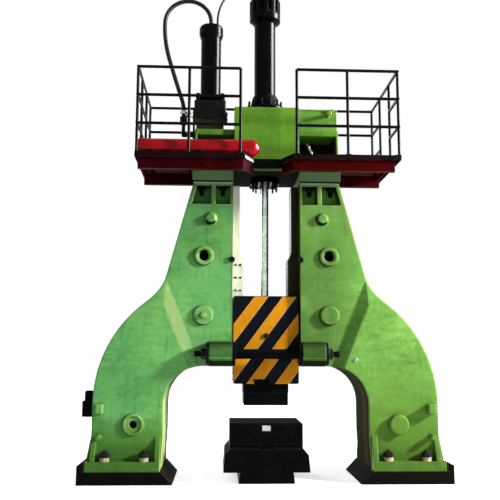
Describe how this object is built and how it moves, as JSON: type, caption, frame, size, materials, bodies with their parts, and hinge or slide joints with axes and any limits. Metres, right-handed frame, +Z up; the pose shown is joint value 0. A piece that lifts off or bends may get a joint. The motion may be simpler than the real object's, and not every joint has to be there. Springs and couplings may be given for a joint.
{
  "type": "hydraulic forging hammer",
  "caption": "Double-arm electro-hydraulic forging hammer: arched cast legs, striped ram on a piston rod, anvil, power head with upright cylinders, and a railed service platform",
  "frame": {"origin": "hammer axis at floor level, midway between the legs", "axes": "X to the right across the hammer, Y from the front to the back, Z up"},
  "size_m": [4.516, 1.62, 6.6315],
  "materials": {
    "green_casting": "satin paint on rough casting, mottled",
    "green_sheet": "satin paint",
    "red_paint": "gloss paint",
    "gloss_black": "gloss paint",
    "striped_paint": "diagonal yellow and black stripes, satin",
    "black_iron": "oily black",
    "charcoal_iron": "rough",
    "guide_steel": "worn pale paint over machined steel",
    "dark_steel": "blackened",
    "bright_steel": "machined",
    "chrome_rod": "polished",
    "bronze": "turned",
    "seal_rubber": "matte",
    "hose_rubber": "satin"
  },
  "bodies": {
    "frame": {"left_leg": "green_casting", "right_leg": "green_casting", "left_sole_plate": "charcoal_iron", "right_sole_plate": "charcoal_iron", "foundation_bolts": "dark_steel", "tie_rods": "dark_steel", "tie_rod_spacers": "dark_steel", "tie_rod_nuts": "dark_steel", "left_guide": "guide_steel", "right_guide": "guide_steel", "guide_clamps": "guide_steel", "guide_liners": "guide_steel", "guide_screws": "dark_steel", "anvil_block": "black_iron", "lower_die": "black_iron", "lower_die_wedge": "bright_steel", "lower_die_keys": "bright_steel", "head_beam": "green_casting", "head_bolts": "dark_steel", "oil_box": "green_sheet", "oil_box_cover": "green_sheet", "cylinder_tube": "gloss_black", "cylinder_clamp_ring": "gloss_black", "cylinder_bolts": "dark_steel", "cylinder_cap": "gloss_black", "gland_housing": "gloss_black", "gland_studs": "dark_steel", "gland_bush": "bronze", "gland_seals": "seal_rubber", "valve_block": "gloss_black", "valve_covers": "gloss_black", "accumulator_tube": "gloss_black", "accumulator_bolts": "dark_steel", "accumulator_cap": "gloss_black", "left_deck": "gloss_black", "right_deck": "gloss_black", "platform_frames": "red_paint", "platform_bridges": "gloss_black", "left_railing": "gloss_black", "right_railing": "gloss_black", "gas_bottle": "red_paint", "bottle_cradles": "gloss_black", "shutoff_valve": "dark_steel", "thick_hose": "hose_rubber", "thin_hose": "hose_rubber", "hose_fittings": "bright_steel", "supply_flange": "dark_steel", "junction_box": "gloss_black"},
    "ram": {"ram_block": "striped_paint", "ram_plug": "dark_steel", "rod_taper_sleeve": "bronze", "upper_die": "black_iron", "upper_die_keys": "bright_steel", "piston_rod": "chrome_rod", "piston": "black_iron", "piston_rings": "bronze", "piston_nut": "dark_steel"},
    "spool": {"control_spool": "bright_steel"},
    "gas_piston": {"accumulator_piston": "bright_steel"},
    "lever": {"valve_lever": "dark_steel"}
  },
  "joints": [
    {"name": "ram_slide", "type": "slide", "parent": "frame", "child": "ram", "axis": [0, 0, 1], "range_m": [-0.2, 1.25]},
    {"name": "spool_slide", "type": "slide", "parent": "frame", "child": "spool", "axis": [1, 0, 0], "range_m": [-0.02, 0.02]},
    {"name": "gas_piston_slide", "type": "slide", "parent": "frame", "child": "gas_piston", "axis": [0, 0, 1], "range_m": [-0.2, 0.5]},
    {"name": "valve_lever_hinge", "type": "hinge", "parent": "frame", "child": "lever", "pos_m": [-1.09, -0.295, 4.585], "axis": [0, -1, 0], "range_deg": [0, 90]}
  ]
}
